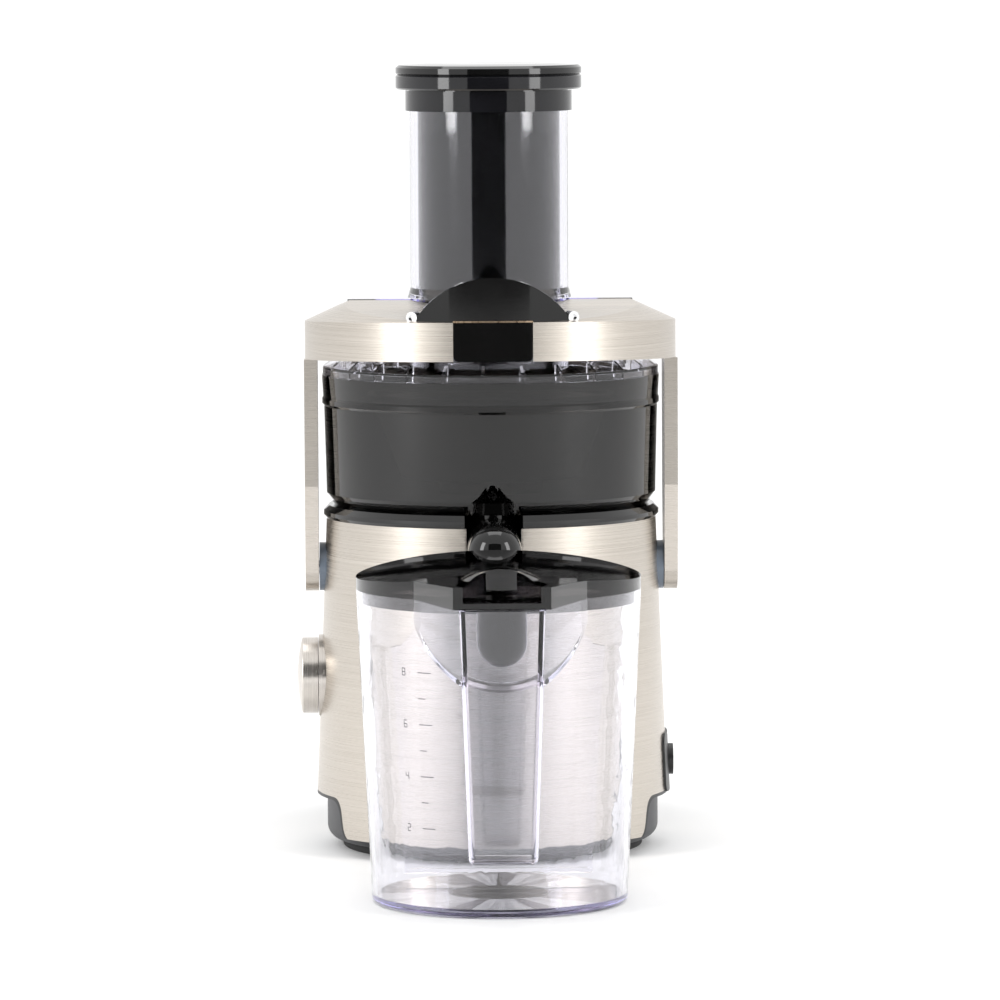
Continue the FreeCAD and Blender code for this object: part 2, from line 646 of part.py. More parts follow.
def bearing(low):
    race = ring(BEARING_RADIUS, SHAFT_RADIUS + RUN_FIT, low, low + BEARING_WIDTH)
    groove = ring(BEARING_RADIUS - 2.0, SHAFT_RADIUS + 2.0, low - PAST, low + 0.6)
    upper_groove = ring(BEARING_RADIUS - 2.0, SHAFT_RADIUS + 2.0, low + BEARING_WIDTH - 0.6, low + BEARING_WIDTH + PAST)
    return race.cut(groove).cut(upper_groove)


def shaft_seal():
    low = SHELL_TOP - DECK_THICKNESS
    return ring(SEAL_RADIUS, SHAFT_RADIUS + 2 * RUN_FIT, low, SHELL_TOP + 1.5)


COUPLING_LOW = SHELL_TOP + 5.0
COUPLING_TOP = BASKET_LOW
PIN_RADIUS = 1.8
PIN_CIRCLE = 10.5
PIN_HEIGHT = 3.2


def drive_coupling():
    body = ring(COUPLING_RADIUS, SHAFT_RADIUS, COUPLING_LOW, COUPLING_TOP)
    body = body.fuse(disc(SHAFT_RADIUS + 1.0, COUPLING_TOP - 4.0, COUPLING_TOP))
    pin = disc(PIN_RADIUS, COUPLING_TOP - 1.0, COUPLING_TOP + PIN_HEIGHT)
    pin.translate(V(PIN_CIRCLE, 0, 0))
    return body.fuse(around(pin, DRIVE_PINS))


def basket_base():
    """The moulded floor of the basket, which the coupling's pins drive."""
    top = BASKET_LOW + BASKET_BASE_THICKNESS
    plate = disc(BASKET_BASE_RADIUS, BASKET_LOW, top)
    lip = ring(BASKET_BASE_RADIUS, BASKET_BASE_RADIUS - 2.0, top, top + 2.0)
    skirt_inner = HUB_SLEEVE_RADIUS + 2.0
    skirt = ring(skirt_inner + 2.0, skirt_inner, HUB_SLEEVE_TOP - 6.0, BASKET_LOW)
    hole = disc(PIN_RADIUS, BASKET_LOW - PAST, BASKET_LOW + PIN_HEIGHT)
    hole.translate(V(PIN_CIRCLE, 0, 0))
    base = plate.fuse([lip, skirt])
    for one in around(hole, DRIVE_PINS):
        base = base.cut(one)
    return base


def basket_wall(low, high, outset):
    """The cone between the basket's floor and its rim, as (radius, height) along its wall."""
    slope = (BASKET_RIM_RADIUS - BASKET_BASE_RADIUS) / (BASKET_RIM - BASKET_LOW)
    return [(BASKET_BASE_RADIUS + outset + slope * (z - BASKET_LOW), z) for z in (low, high)]


def filter_basket():
    outer = basket_wall(BASKET_LOW, BASKET_RIM, BASKET_WALL)
    inner = basket_wall(BASKET_LOW, BASKET_RIM, 0.0)
    return turned(outer + inner[::-1]).cut(disc(BASKET_BASE_RADIUS, 0, BASKET_LOW + BASKET_BASE_THICKNESS + 2.0))


def basket_rim():
    outer = BASKET_RIM_RADIUS + BASKET_FLANGE
    rim = ring(outer, BASKET_RIM_RADIUS, BASKET_RIM, BASKET_RIM + 3.0)
    return round_rings(rim, 1.2, [(outer, BASKET_RIM + 3.0), (outer, BASKET_RIM)])


GRATER_RADIUS = BASKET_BASE_RADIUS - 2.5
GRATER_THICKNESS = 1.5


def grater_disc():
    """The cutting plate on the basket's floor, with rings of small raised teeth."""
    low = BASKET_LOW + BASKET_BASE_THICKNESS
    top = low + GRATER_THICKNESS
    plate = ring(GRATER_RADIUS, GRATER_HUB_RADIUS, low, top)
    teeth = []
    for row, count in ((16.0, 8), (24.0, 12), (32.0, 16), (38.5, 20)):
        tooth = prism_along_y([(row - 1.2, top - 0.2), (row + 1.2, top - 0.2), (row + 1.2, top + 1.4)], -0.9, 0.9)
        teeth += around(tooth, count, row)
    return plate.fuse(teeth)


GRATER_HUB_RADIUS = 9.0


def grater_hub():
    low = BASKET_LOW + BASKET_BASE_THICKNESS
    hub = disc(GRATER_HUB_RADIUS, low, low + 7.0)
    return round_rings(hub, 4.0, [(GRATER_HUB_RADIUS, low + 7.0)])


# ---------------------------------------------------------------- bowl and spout

def bowl_line(inset):
    """The bowl's side as (radius, height) corners, from its foot to its rim."""
    foot = RING_TOP + inset
    return [
        (BOWL_FOOT_RADIUS - 0.4 * inset, foot),
        (BOWL_RADIUS - 2.0 - inset, RING_TOP + BOWL_CHAMFER + 0.4 * inset),
        (BOWL_RADIUS - 1.0 - inset, BOWL_STEP),
        (BOWL_RADIUS - 0.1 - inset, BOWL_STEP + 1.2),
        (BOWL_RADIUS - 0.1 - inset, BOWL_STEP + 3.6),
        (BOWL_RADIUS - 0.6 - inset, BOWL_STEP + 4.6),
        (BOWL_RADIUS - inset, BOWL_TOP),
    ]


def juice_bowl():
    sleeve_bore = HUB_SLEEVE_RADIUS - BOWL_WALL
    outside = [(sleeve_bore, RING_TOP)] + bowl_line(0.0)
    inside = bowl_line(BOWL_WALL)[::-1]
    inside += [
        (HUB_SLEEVE_RADIUS, RING_TOP + BOWL_WALL),
        (HUB_SLEEVE_RADIUS, HUB_SLEEVE_TOP),
        (sleeve_bore, HUB_SLEEVE_TOP),
    ]
    outlet = disc(SPOUT_RADIUS - SPOUT_WALL, RING_TOP - PAST, RING_TOP + BOWL_WALL + PAST, -SPOUT_INLET)
    return turned(outside + inside).cut(outlet)


def spout_form(radius, nozzle_radius, floor):
    """The spout's form for one radius: an inlet, a run forward, a drop and a nozzle."""
    elbow = V(0, -(SPOUT_REACH - SPOUT_RADIUS), SPOUT_HEIGHT)
    start = V(0, -SPOUT_INLET, SPOUT_HEIGHT)
    inlet = rod(radius, start, Z_AXIS, RING_TOP - SPOUT_HEIGHT)
    run = rod(radius, start, -Y_AXIS, start.y - elbow.y)
    drop = rod(radius, V(0, elbow.y, floor), Z_AXIS, SPOUT_HEIGHT - floor)
    nozzle = rod(nozzle_radius, V(0, elbow.y, NOZZLE_HEIGHT), -Y_AXIS, NOZZLE_REACH + elbow.y)
    form = run.fuse(inlet).fuse(drop)
    form = form.fuse(Part.makeSphere(radius, elbow)).fuse(Part.makeSphere(radius, start))
    return form.fuse(nozzle)


def juice_spout():
    floor = NOZZLE_HEIGHT - NOZZLE_RADIUS
    outer = spout_form(SPOUT_RADIUS, NOZZLE_RADIUS, floor)
    inner = spout_form(SPOUT_RADIUS - SPOUT_WALL, NOZZLE_RADIUS - NOZZLE_WALL, floor + NOZZLE_WALL)
    return outer.cut(inner)


# ---------------------------------------------------------------- lid, chute and pusher

LID_SWEEP = TOP_HEIGHT - BAND_WALL - PIVOT_HEIGHT - MOVE_GAP  # the dome stays inside the crossbar's sweep


def lid_dome(inset):
    """The front of the lid: part of a ball about the arm's pivot line, over the bowl."""
    ball = Part.makeSphere(LID_SWEEP - inset, V(0, 0, PIVOT_HEIGHT))
    return ball.common(disc(LID_RADIUS - inset, BOWL_TOP - (PAST if inset else 0.0), CHUTE_TOP))


def lid_hood(inset):
    """The raised back of the lid, over the way the pulp takes to its container."""
    low = BOWL_TOP - (PAST if inset else 0.0)
    top = HOOD_HEIGHT - inset
    back = HOOD_BACK - inset
    front = CROSSBAR_BACK + 1.5 + inset
    profile = [
        (front, low),
        (front, top),
        (front + 55.0, top - 1.5),
        (front + 100.0, top - 5.0),
        (back, top - HOOD_DROP - 1.5),
        (back, low),
    ]
    hood = prism_along_x(profile, -HOOD_HALF + inset, HOOD_HALF - inset)
    hood = round_upright(hood, HOOD_CORNER - inset, lambda middle: middle.y > back - PAST)
    return hood


def chute_disc(radius, z0, z1):
    return disc(radius, z0, z1, CHUTE_SET_BACK)


def lid():
    outer = lid_dome(0.0).fuse(lid_hood(0.0))
    inner = lid_dome(LID_WALL).fuse(lid_hood(LID_WALL))
    locating = ring(BOWL_RADIUS - BOWL_WALL - 0.4, BOWL_RADIUS - BOWL_WALL - LID_WALL, BOWL_TOP - 4.6, BOWL_TOP + 3.0)
    shape = outer.cut(inner).fuse(locating)
    rib = box(LID_RADIUS - 9.0, LID_RADIUS - 3.0, -0.8, 0.8, BOWL_TOP - 3.0, LID_SHOULDER - 1.0)
    ribs = [one.common(lid_dome(0.0)) for one in around(rib, LID_RIBS, 90.0 / LID_RIBS)]
    shape = shape.fuse(ribs)
    return shape.cut(chute_disc(CHUTE_RADIUS, 0, CHUTE_TOP))


def feed_chute():
    outer = chute_disc(CHUTE_RADIUS, CHUTE_BOTTOM, CHUTE_TOP)
    flare = Part.makeCone(CHUTE_RADIUS + 1.5, CHUTE_RADIUS, 5.0, V(0, CHUTE_SET_BACK, HOOD_HEIGHT + 0.3))
    outer = outer.fuse(flare)
    return outer.cut(chute_disc(CHUTE_BORE, CHUTE_BOTTOM - PAST, CHUTE_TOP + PAST))


def pusher_body():
    """The hollow pusher with its collar over the chute's mouth and its flange."""
    bore = PUSHER_RADIUS - PUSHER_WALL
    seat = CHUTE_TOP + MOVE_GAP
    collar_bore = CHUTE_RADIUS + MOVE_GAP
    neck = COLLAR_RADIUS - 1.8
    body = turned([
        (0, PUSHER_BOTTOM),
        (PUSHER_RADIUS - 2.0, PUSHER_BOTTOM),
        (PUSHER_RADIUS, PUSHER_BOTTOM + 2.0),
        (PUSHER_RADIUS, seat),
        (collar_bore, seat),
        (collar_bore, COLLAR_BOTTOM),
        (COLLAR_RADIUS, COLLAR_BOTTOM),
        (COLLAR_RADIUS, CAP_SEAT - 0.7),
        (neck, CAP_SEAT - 0.7),
        (neck, CAP_SEAT),
        (CAP_RADIUS - 0.8, CAP_SEAT),
        (CAP_RADIUS, CAP_SEAT + 0.8),
        (CAP_RADIUS, CAP_SEAM - 0.8),
        (CAP_RADIUS - 0.8, CAP_SEAM),
        (bore, CAP_SEAM),
        (bore, PUSHER_BOTTOM + PUSHER_WALL),
        (0, PUSHER_BOTTOM + PUSHER_WALL),
    ])
    body.translate(V(0, CHUTE_SET_BACK, 0))
    return body


def pusher_cap():
    plug = PUSHER_RADIUS - PUSHER_WALL - 0.2
    cap = turned([
        (plug - 2.0, CAP_SEAM - 5.0),
        (plug, CAP_SEAM - 5.0),
        (plug, CAP_SEAM),
        (CAP_RADIUS - 0.8, CAP_SEAM),
        (CAP_RADIUS, CAP_SEAM + 0.8),
        (CAP_RADIUS, CAP_TOP - 2.0),
        (CAP_RADIUS - 1.6, CAP_TOP - 0.7),
        (CAP_RADIUS - 14.0, CAP_TOP),
        (0, CAP_TOP),
        (0, CAP_SEAM),
        (plug - 2.0, CAP_SEAM),
    ])
    cap.translate(V(0, CHUTE_SET_BACK, 0))
    return cap


# ---------------------------------------------------------------- pulp container

def pulp_form(inset, z0, z1):
    """The container's plan: rounded at the back, hollowed in front to hug the body."""
    back = PULP_BACK - inset
    half = PULP_HALF_WIDTH - inset
    block = box(-half, half, 0, back, z0, z1)
    block = round_upright(block, HOOD_CORNER - 4.0 - inset, lambda middle: middle.y > back - PAST)
    block = block.cut(disc(PULP_FRONT + inset, z0 - PAST, z1 + PAST))
    return block


def pulp_container():
    outer = pulp_form(0.0, 0.0, PULP_TOP)
    foot_edges = [e for e in outer.Edges if e.BoundBox.ZMax < 0.01 and e.CenterOfMass.y > PULP_FRONT + 10.0]
    outer = outer.makeFillet(4.0, foot_edges)
    inner = pulp_form(PULP_WALL, PULP_WALL, PULP_TOP + PAST)
    return outer.cut(inner)


# ---------------------------------------------------------------- locking arm

def below_plane(shape, height, degrees):
    """The part of a shape under a plane that crosses the spindle axis at a height."""
    size = 4 * BAND_RADIUS
    block = Part.makeBox(2 * size, 2 * size, size, V(-size, -size, -size))
    block.rotate(ORIGIN, X_AXIS, degrees)
    block.translate(V(0, 0, height))
    return shape.common(block)


def crossbar_form(inset):
    """The crossbar's full form: a half ring with a sloping margin, and two straight ends."""
    radius = BAND_RADIUS - inset
    low = BAND_LOW - (PAST if inset else 0.0)
    shoulder = BAND_LOW + BAND_HEIGHT - 0.4 * inset
    rise = math.tan(math.radians(CHAMFER_SLOPE))
    peak = shoulder + rise * radius
    cone = turned([(0, low), (radius, low), (radius, shoulder), (0, peak)])
    back = ARM_HALF_WIDTH
    front_half = cone.common(box(-radius - PAST, radius + PAST, -radius - PAST, 0, low, peak))
    outline = [(-radius, low), (radius, low), (radius, shoulder), (0, peak), (-radius, shoulder)]
    straight = prism_along_y(outline, 0, back)
    form = tilted(front_half.fuse(straight))
    return below_plane(form, TOP_HEIGHT - inset, TOP_FALL)


def tilted(shape):
    """The same shape turned by the band's tilt about the crossbar's lower pivot line."""
    copy = shape.copy()
    copy.rotate(V(0, 0, BAND_LOW), X_AXIS, -BAND_TILT)
    return copy


def grip_window():
    """The way through the band's front for the grip block."""
    inner = BAND_RADIUS - BAND_WALL - 1.0
    opening = box(-GRIP_HALF_WIDTH, GRIP_HALF_WIDTH, -2 * BAND_RADIUS, 0, BAND_LOW - 5.0, DOME_BASE + 4.0)
    return tilted(opening.cut(disc(inner, 0, CHUTE_TOP)))


def arm_crossbar():
    shell = crossbar_form(0.0).cut(crossbar_form(BAND_WALL))
    way_half = CHUTE_RADIUS + 2.0
    chute_way = chute_disc(way_half, BAND_LOW, CHUTE_TOP)
    chute_way = chute_way.fuse(box(-way_half, way_half, CHUTE_SET_BACK, 2 * way_half, BAND_LOW, CHUTE_TOP))
    hood_way = box(-HOOD_HALF - 3.0, HOOD_HALF + 3.0, CROSSBAR_BACK, BAND_RADIUS, BAND_LOW - 10.0, CHUTE_TOP)
    return shell.cut(chute_way).cut(hood_way).cut(grip_window())


def grip_block():
    """The black block let into the crossbar's front, as deep as the band is high."""
    inner = BAND_RADIUS - BAND_WALL - 1.0
    rise = BAND_HEIGHT - 0.1
    block = ring(BAND_RADIUS + GRIP_PROUD, inner, BAND_LOW, BAND_LOW + rise)
    front = box(-GRIP_HALF_WIDTH, GRIP_HALF_WIDTH, -2 * BAND_RADIUS, 0, BAND_LOW, BAND_LOW + rise)
    block = block.common(front)
    corners = []
    for edge in block.Edges:
        flat = edge.BoundBox.ZLength < 0.01 and edge.CenterOfMass.z < BAND_LOW + 1.0
        if flat and abs(edge.CenterOfMass.x) > GRIP_HALF_WIDTH - 0.1:
            corners.append(edge)
    return tilted(block.makeFillet(3.0, corners))


def grip_trim():
    """The thin metal line between the grip block and the dome tab."""
    low = BAND_LOW + BAND_HEIGHT - 0.1
    strip = ring(BAND_RADIUS - 0.4, BAND_RADIUS - BAND_WALL - 1.0, low, low + 0.9)
    strip = strip.common(box(-GRIP_HALF_WIDTH, GRIP_HALF_WIDTH, -2 * BAND_RADIUS, 0, low, low + 1.0))
    return tilted(strip).cut(grip_dome())


def grip_ears():
    """Two small metal eyes where the dome tab's ends meet the crossbar."""
    ears = []
    for side in (-1, 1):
        angle = math.asin(side * (DOME_HALF_WIDTH + 1.0) / DOME_RADIUS)
        outward = V(math.sin(angle), -math.cos(angle), 0)
        centre = outward * (DOME_RADIUS - 1.0) + V(0, 0, DOME_BASE + 1.8)
        eye = rod(EAR_RADIUS, centre - outward * 4.0, outward, 5.5).cut(rod(EAR_RADIUS - 1.4, centre, outward, 6.0))
        ears.append(eye.cut(crossbar_form(0.0)).cut(grip_dome()))
    return Part.makeCompound(ears)


EAR_RADIUS = 3.0


def dome_outline():
    """The dome tab's front view: an arc over its base line."""
    rise = DOME_TOP - DOME_BASE
    radius = (DOME_HALF_WIDTH ** 2 + rise ** 2) / (2 * rise)
    return radius, DOME_TOP - radius


def grip_dome():
    """The thumb tab: a curved black plate that rises over the crossbar behind the block."""
    radius, centre_z = dome_outline()
    plate = ring(DOME_RADIUS, DOME_RADIUS - DOME_THICKNESS, DOME_BASE - 4.0, DOME_TOP + PAST)
    round_form = rod(radius, V(0, -2 * BAND_RADIUS, centre_z), Y_AXIS, 2 * BAND_RADIUS)
    tab = plate.common(round_form)
    tab = tab.cut(crossbar_form(0.0))
    return max(tab.Solids, key=lambda solid: -solid.CenterOfMass.y)


ARM_TAPER_TOP = PIVOT_HEIGHT + 42.3
TONGUE_RISE = 11.0


def arm_plate():
    """The right side arm: a flat bar with a round end at its pivot and a tongue on top."""
    outline = [
        (-ARM_HALF_WIDTH, BAND_LOW + 2.0),
        (-ARM_HALF_WIDTH, ARM_TAPER_TOP),
        (-ARM_END_RADIUS, PIVOT_HEIGHT),
        (ARM_END_RADIUS, PIVOT_HEIGHT),
        (ARM_HALF_WIDTH, ARM_TAPER_TOP),
        (ARM_HALF_WIDTH, BAND_LOW + 2.0),
    ]
    bar = prism_along_x(outline, ARM_INNER, ARM_OUTER)
    end = rod(ARM_END_RADIUS, V(ARM_INNER, 0, PIVOT_HEIGHT), X_AXIS, ARM_OUTER - ARM_INNER)
    bar = below_plane(bar.fuse(end), BAND_LOW, -BAND_TILT)
    inner_face = BAND_RADIUS - BAND_WALL - 0.6
    half = ARM_HALF_WIDTH - 2.0
    tongue = box(ARM_INNER, inner_face, -half, half, BAND_LOW - 2.0, BAND_LOW + TONGUE_RISE)
    arm = bar.fuse(tongue.cut(crossbar_form(0.0).cut(crossbar_form(BAND_WALL))))
    bore = rod(PIVOT_PIN_RADIUS + RUN_FIT, V(ARM_INNER - PAST, 0, PIVOT_HEIGHT), X_AXIS, ARM_OUTER - ARM_INNER - 1.5 + PAST)
    return arm.cut(bore)


def pivot_pin():
    boss_end = shell_radius(PIVOT_HEIGHT) - 3.0
    start = boss_end - PIN_DEPTH
    return rod(PIVOT_PIN_RADIUS, V(start, 0, PIVOT_HEIGHT), X_AXIS, ARM_OUTER - 2.0 - start)


def pivot_disc():
    start = SHELL_TOP_RADIUS - 4.0
    boss = rod(PIVOT_DISC_RADIUS, V(start, 0, PIVOT_HEIGHT), X_AXIS, ARM_INNER - 0.4 - start)
    boss = boss.cut(shell_solid())
    return boss.cut(rod(PIVOT_PIN_RADIUS, V(start, 0, PIVOT_HEIGHT), X_AXIS, 2 * PIN_DEPTH))


# ---------------------------------------------------------------- control knob

KNOB_SAG = 2.5


def control_knob():
    ball_radius = (KNOB_RADIUS ** 2 + KNOB_SAG ** 2) / (2 * KNOB_SAG)
    knob = rod(KNOB_RADIUS, V(-KNOB_BACK, 0, KNOB_HEIGHT), -X_AXIS, KNOB_FACE - KNOB_BACK)
    knob = knob.common(Part.makeSphere(ball_radius, V(ball_radius - KNOB_FACE, 0, KNOB_HEIGHT)))
    rim = [e for e in knob.Edges if isinstance(e.Curve, Part.Circle) and e.CenterOfMass.x < -KNOB_BACK - 2.0]
    knob = knob.makeFillet(1.0, rim)
    pointer = box(-KNOB_FACE - PAST, -KNOB_FACE + KNOB_SAG + 0.6, -0.7, 0.7, KNOB_HEIGHT + 11.0, KNOB_HEIGHT + KNOB_RADIUS - 3.0)
    bore = rod(SPINDLE_RADIUS, V(-KNOB_BACK + PAST, 0, KNOB_HEIGHT), -X_AXIS, 7.0 + PAST)
    return knob.cut(pointer).cut(bore)


def knob_spindle():
    end = KNOB_BACK + 7.0
    start = SWITCH_FACE + 2.5
    return rod(SPINDLE_RADIUS, V(-start, 0, KNOB_HEIGHT), -X_AXIS, end - start)


def knob_bezel():
    start = SHELL_TOP_RADIUS - 4.0
    bezel = rod(KNOB_RADIUS + 1.5, V(-start, 0, KNOB_HEIGHT), -X_AXIS, KNOB_BACK - 0.3 - start)
    bezel = bezel.cut(shell_solid())
    return bezel.cut(rod(SPINDLE_RADIUS + MOVE_GAP, V(-start, 0, KNOB_HEIGHT), -X_AXIS, 2 * KNOB_RADIUS))


# ---------------------------------------------------------------- jug

def jug_half(z):
    """Half width and half depth of the jug's outside at a height."""
    share = z / JUG_HEIGHT
    width = JUG_FOOT_HALF_WIDTH + (JUG_TOP_HALF_WIDTH - JUG_FOOT_HALF_WIDTH) * share
    depth = JUG_FOOT_HALF_DEPTH + (JUG_TOP_HALF_DEPTH - JUG_FOOT_HALF_DEPTH) * share
    return width, depth


def oval_wire(half_width, half_depth, z):
    centre = V(0, JUG_CENTRE, z)
    long_end = V(0, half_depth, 0)
    short_end = V(half_width, 0, 0)
    if half_width > half_depth:
        long_end, short_end = short_end, long_end
    curve = Part.Ellipse(centre + long_end, centre + short_end, centre)
    return Part.Wire(curve.toShape())


def jug_form(inset, z0, z1):
    wires = []
    for z in (z0, z1):
        width, depth = jug_half(z)
        wires.append(oval_wire(width - inset, depth - inset, z))
    return Part.makeLoft(wires, True, True)


def oval_prism(inset, z0, z1):
    """An upright oval block on the jug's mouth outline."""
    face = Part.Face(oval_wire(JUG_TOP_HALF_WIDTH - inset, JUG_TOP_HALF_DEPTH - inset, z0))
    return face.extrude(V(0, 0, z1 - z0))


HANDLE_FACE = JUG_CENTRE - JUG_TOP_HALF_DEPTH - HANDLE_REACH
HANDLE_BACK = HANDLE_FACE + HANDLE_DEPTH
ROOT_BACK = JUG_CENTRE - 0.75 * JUG_TOP_HALF_DEPTH


def handle_column(inset, back):
    """The upright column of the handle, wider at its top."""
    foot = HANDLE_FOOT_WIDTH / 2 - inset
    top = HANDLE_TOP_WIDTH / 2 - inset
    low = HANDLE_LOW + inset
    corners = [(-foot, low), (foot, low), (top, JUG_HEIGHT), (-top, JUG_HEIGHT)]
    return prism_along_y(corners, HANDLE_FACE + inset, back)


def handle_root(inset):
    """The funnel between the jug's wall and the column: a plan wedge over a U-shaped trough."""
    far = HANDLE_TOP_WIDTH / 2 - 1.0 - inset
    near = ROOT_HALF_WIDTH - inset
    front = HANDLE_FACE + 2.0 + inset
    corners = [V(-far, front, 0), V(far, front, 0), V(near, ROOT_BACK, 0), V(-near, ROOT_BACK, 0)]
    wedge = Part.Face(Part.makePolygon(corners + corners[:1])).extrude(V(0, 0, JUG_HEIGHT + PAST))
    centre = V(0, HANDLE_FACE, JUG_HEIGHT)
    depth = JUG_HEIGHT - ROOT_LOW - inset
    trough = Part.Ellipse(centre + V(near, 0, 0), centre + V(0, 0, depth), centre)
    trough = Part.Face(Part.Wire(trough.toShape())).extrude(V(0, ROOT_BACK - HANDLE_FACE, 0))
    return wedge.common(trough)


def below_root_slope(shape):
    """The part of a shape under the plane of the handle's sloping top."""
    past_face = HANDLE_FACE - 5.0
    slope = [(ROOT_BACK, JUG_HEIGHT), (past_face, JUG_HEIGHT - ROOT_FALL), (past_face, -PAST), (ROOT_BACK, -PAST)]
    return shape.common(prism_along_x(slope, -JUG_TOP_HALF_WIDTH, JUG_TOP_HALF_WIDTH))


def handle_form():
    """The handle as it joins the jug: a channel column that hangs from a hollow root."""
    column = handle_column(0.0, HANDLE_BACK)
    rounded = []
    for edge in column.Edges:
        middle = edge.CenterOfMass
        on_front = middle.y < HANDLE_FACE + 0.1
        across_foot = middle.z < HANDLE_LOW + 0.1 and edge.BoundBox.YLength > 1.0
        if on_front and middle.z < JUG_HEIGHT - 1.0 or across_foot:
            rounded.append(edge)
    column = column.makeFillet(HANDLE_WALL, rounded)
    handle = column.fuse(handle_root(0.0))
    handle = handle.cut(handle_column(HANDLE_WALL, HANDLE_BACK + PAST)).cut(handle_root(HANDLE_WALL))
    return below_root_slope(handle)


def jug_body():
    """The jug's cup, with a notch in its rim for the spout's nozzle."""
    wall = jug_form(0.0, 0.0, JUG_HEIGHT)
    foot = [e for e in wall.Edges if e.BoundBox.ZMax < 0.01]
    wall = wall.makeFillet(3.0, foot)
    hollow = jug_form(JUG_WALL, JUG_FLOOR, JUG_HEIGHT + PAST)
    underside = ring(25.0, 23.6, -PAST, 0.8, JUG_CENTRE)
    half = NOZZLE_RADIUS + NOTCH_GAP
    notch = box(-half, half, JUG_CENTRE, 0, NOZZLE_HEIGHT - half, JUG_HEIGHT + PAST)
    return wall.cut(underside).cut(hollow).cut(notch)


def jug_handle():
    """The jug's handle, moulded on outside the cup's wall."""
    return handle_form().cut(jug_form(0.0, 0.0, JUG_HEIGHT + PAST))


def lid_cap(inset):
    """What the jug lid's roof stays under: a wide arch that falls a little towards the handle."""
    half = JUG_TOP_HALF_WIDTH + 10.0
    side = JUG_LID_SAG * (half / JUG_TOP_HALF_WIDTH) ** 2
    back_y = JUG_CENTRE + JUG_TOP_HALF_DEPTH + 10.0
    top = JUG_LID_BACK - inset
    arch = Part.Arc(V(-half, back_y, top - side), V(0, back_y, top), V(half, back_y, top - side)).toShape()
    walls = Part.makePolygon([V(half, back_y, top - side), V(half, back_y, -PAST), V(-half, back_y, -PAST),
                              V(-half, back_y, top - side)])
    length = 2 * JUG_TOP_HALF_DEPTH + HANDLE_REACH + 40.0
    slant = V(0, -length, -length * math.tan(math.radians(JUG_LID_FALL)))
    return Part.Face(Part.Wire(arch.Edges + walls.Edges)).extrude(slant)


def lid_tongue(inset, low):
    """The lid's tongue over the handle's root, as an upright block."""
    front_y = JUG_CENTRE - TONGUE_REACH + inset
    share = (ROOT_BACK - front_y) / (ROOT_BACK - HANDLE_FACE)
    near = ROOT_HALF_WIDTH - inset
    far = near + (HANDLE_TOP_WIDTH / 2 - ROOT_HALF_WIDTH) * share
    corners = [V(-near, ROOT_BACK, low), V(near, ROOT_BACK, low), V(far, front_y, low), V(-far, front_y, low)]
    tongue = Part.Face(Part.makePolygon(corners + corners[:1])).extrude(V(0, 0, JUG_LID_BACK + 20.0 - low))
    if inset:
        return tongue
    return tongue.cut(below_root_slope(tongue)).cut(oval_prism(-MOVE_GAP, 0.0, JUG_HEIGHT))


def lid_roof(inset):
    """What the lid stays under: the wide arch, and the swelling behind the thumb scoop."""
    radius = SWELL_RADIUS - inset
    centre = V(0, JUG_CENTRE - SWELL_SET_FORWARD, SWELL_TOP - SWELL_RADIUS)
    return lid_cap(inset).fuse(Part.makeSphere(radius, centre))


def jug_lid_form(inset, low):
    """The lid's full form: the oval and the tongue under the roof, without the scoop."""
    oval = oval_prism(inset, low, JUG_LID_BACK + 20.0)
    tongue = lid_tongue(inset, min(low, JUG_HEIGHT - ROOT_FALL - PAST))
    scoop = disc(SCOOP_RADIUS + inset, 0, 2 * JUG_LID_BACK, JUG_CENTRE - SCOOP_SET_FORWARD)
    return oval.fuse(tongue).common(lid_roof(inset)).cut(scoop)


def lid_cup(radius, low, high):
    """A round-ended pocket that reaches down into the handle's root."""
    centre_y = JUG_CENTRE - CUP_SET_FORWARD
    ball = Part.makeSphere(radius, V(0, centre_y, low + radius))
    return disc(radius, low + radius, high, centre_y).fuse(ball)


def jug_lid():
    outer = jug_lid_form(0.0, JUG_HEIGHT)
    inner = jug_lid_form(JUG_LID_WALL, JUG_HEIGHT - PAST)
    plug_inset = JUG_WALL + PLUG_GAP + JUG_TOP_HALF_WIDTH - jug_half(JUG_HEIGHT - PLUG_DEPTH)[0]
    bore_inset = plug_inset + 1.8
    top = JUG_HEIGHT + 1.5
    plug = oval_prism(plug_inset, JUG_HEIGHT - PLUG_DEPTH, top)
    plug = plug.cut(oval_prism(bore_inset, JUG_HEIGHT - PLUG_DEPTH - PAST, top + PAST))
    rim = oval_prism(0.0, JUG_HEIGHT, top).cut(oval_prism(bore_inset, JUG_HEIGHT - PAST, top + PAST))
    floor_top = JUG_HEIGHT + 1.8
    floor = lid_tongue(0.0, JUG_HEIGHT - ROOT_FALL - PAST)
    floor = floor.common(disc(SCOOP_RADIUS + JUG_LID_WALL, 0, floor_top, JUG_CENTRE - SCOOP_SET_FORWARD))
    cup = lid_cup(CUP_RADIUS, CUP_LOW, floor_top)
    reach = NOZZLE_RADIUS + NOTCH_GAP
    nozzle_way = box(-reach, reach, JUG_CENTRE + 30.0, 0, 0, NOZZLE_HEIGHT + reach)
    lid_shell = outer.cut(inner).fuse([rim, plug, floor, cup])
    return lid_shell.cut(lid_cup(CUP_RADIUS - 1.8, CUP_LOW + 1.8, floor_top + PAST)).cut(nozzle_way)


